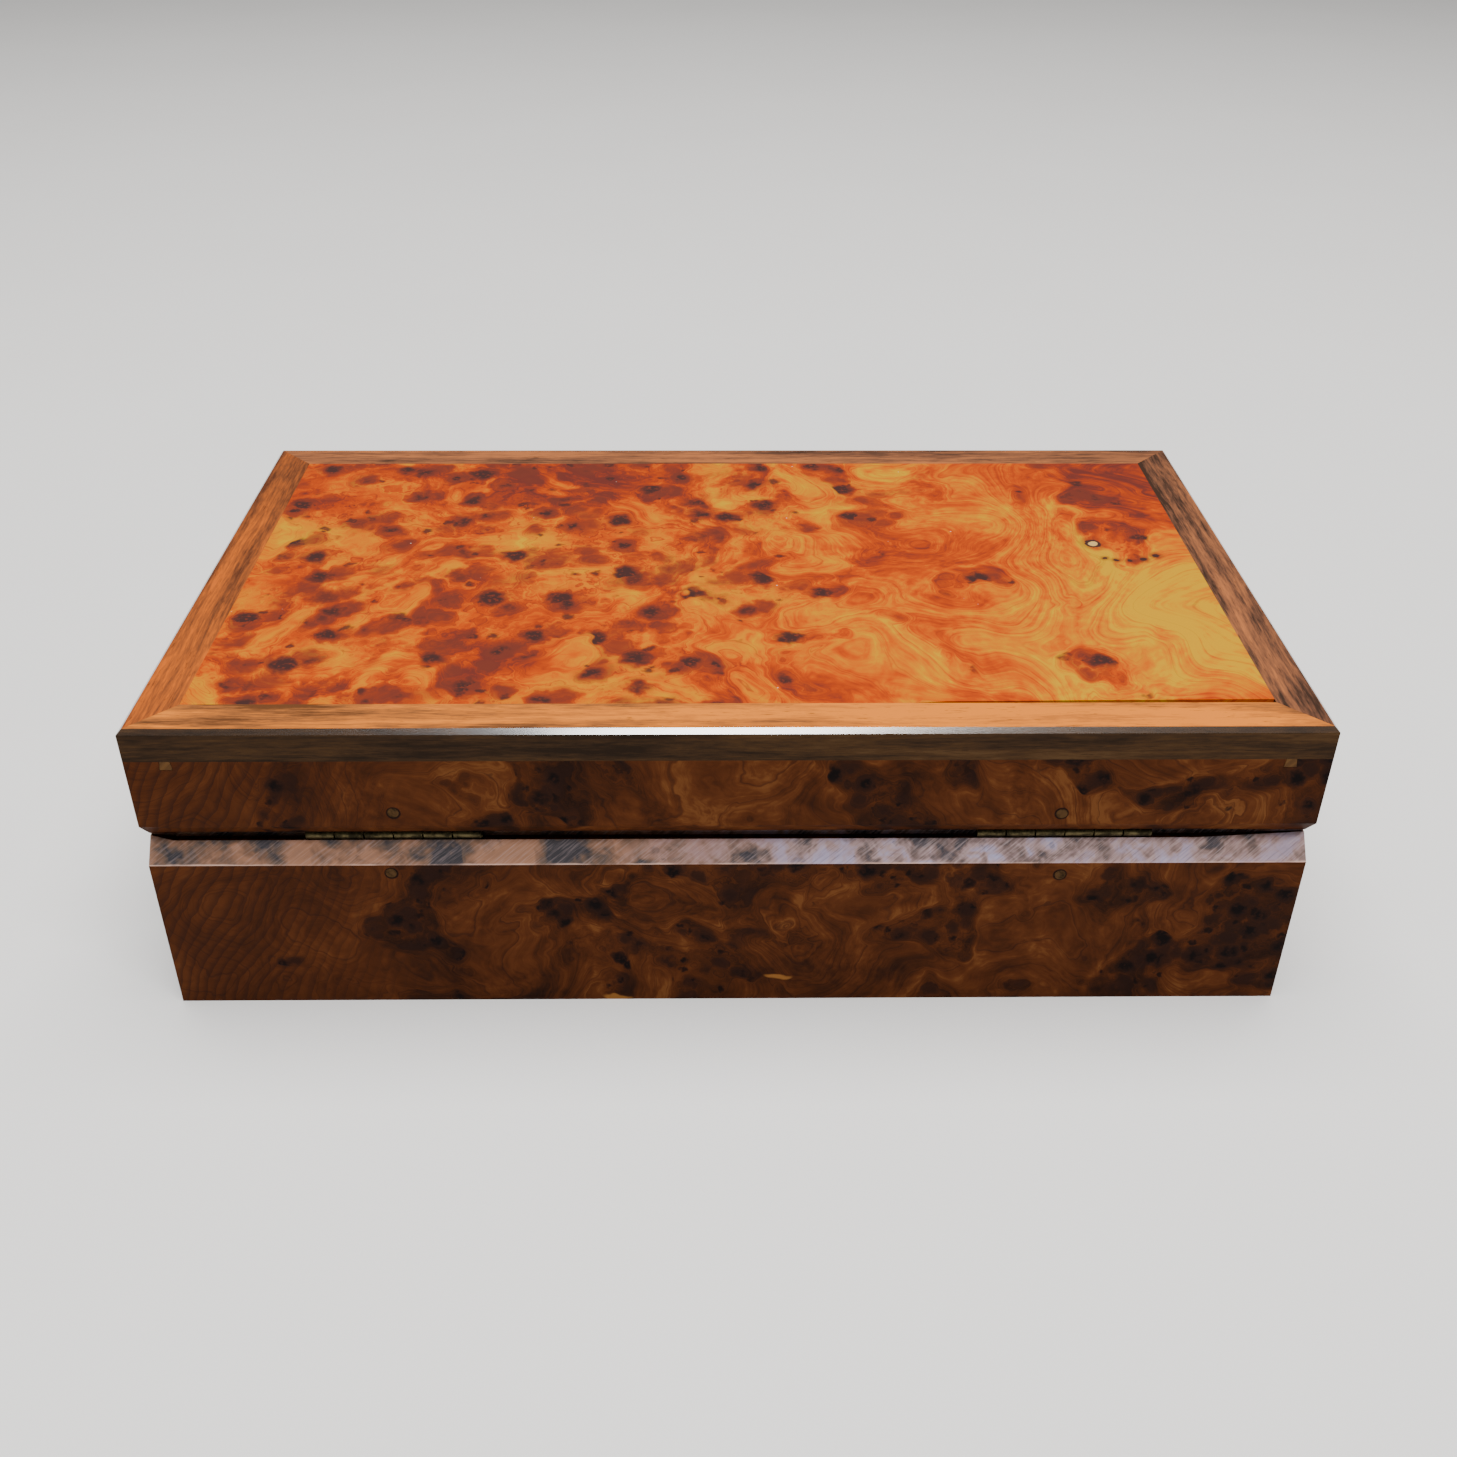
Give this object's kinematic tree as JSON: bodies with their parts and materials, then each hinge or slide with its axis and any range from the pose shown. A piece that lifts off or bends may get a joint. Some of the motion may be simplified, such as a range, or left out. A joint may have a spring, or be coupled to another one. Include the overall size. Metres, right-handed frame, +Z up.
{
  "type": "puzzle box",
  "caption": "Rectangular burl wood puzzle box with a hinged lid, a sliding lid top over the hidden key and a sliding strip over the keyhole.",
  "frame": {"origin": "centre of the underside", "axes": "+X along the length, +Y towards the hinged rear, +Z up"},
  "size_m": [0.2, 0.116, 0.059],
  "materials": {
    "burl_panel": "high gloss varnished burl",
    "burl_wall": "polished burl, plain satin on the rear bevels",
    "walnut": "satin walnut edging with a varnish",
    "plain_wood": "plain sanded board",
    "pale_wood": "bare pale wood",
    "hinge_brass": "dull aged brass",
    "nail_brass": "dull brass, filed flush",
    "lock_brass": "satin brass",
    "steel": "dark satin steel"
  },
  "bodies": {
    "base": {"base_rear_wall": "burl_wall", "base_front_wall": "burl_wall", "base_left_wall": "burl_wall", "base_right_wall": "burl_wall", "base_bottom": "plain_wood", "fixed_front_strip": "burl_wall", "cover_stop_peg": "pale_wood", "keyhole_escutcheon": "lock_brass", "lock_case": "lock_brass", "lock_cap": "lock_brass", "lock_key_post": "steel", "lock_guide_pins": "steel", "lock_spring": "steel", "lock_nails": "nail_brass", "left_hinge_base_leaf": "hinge_brass", "right_hinge_base_leaf": "hinge_brass", "left_hinge_pin": "hinge_brass", "right_hinge_pin": "hinge_brass", "base_hinge_nails": "nail_brass"},
    "lid": {"lid_rear_wall": "burl_wall", "lid_front_wall": "burl_wall", "lid_left_wall": "burl_wall", "lid_right_wall": "burl_wall", "left_hinge_lid_leaf": "hinge_brass", "right_hinge_lid_leaf": "hinge_brass", "lid_hinge_nails": "nail_brass", "lock_hook": "lock_brass", "lock_hook_nails": "nail_brass", "key": "steel", "slide_stop_peg": "pale_wood"},
    "lid_top": {"top_rear_strip": "walnut", "top_front_strip": "walnut", "top_left_strip": "walnut", "top_right_strip": "walnut", "top_burl_panel": "burl_panel", "left_runner": "pale_wood", "right_runner": "pale_wood"},
    "cover": {"keyhole_cover": "burl_wall"},
    "bolt": {"lock_bolt": "steel"}
  },
  "joints": [
    {"name": "lid_hinge", "type": "hinge", "parent": "base", "child": "lid", "pos_m": [0, 0.0542, 0.0355], "axis": [-1, 0, 0], "range_deg": [0, 95]},
    {"name": "top_slide", "type": "slide", "parent": "lid", "child": "lid_top", "axis": [0, 1, 0], "range_m": [0, 0.0075]},
    {"name": "cover_slide", "type": "slide", "parent": "base", "child": "cover", "axis": [-1, 0, 0], "range_m": [0, 0.02]},
    {"name": "bolt_slide", "type": "slide", "parent": "base", "child": "bolt", "axis": [1, 0, 0], "range_m": [0, 0.0044]}
  ]
}
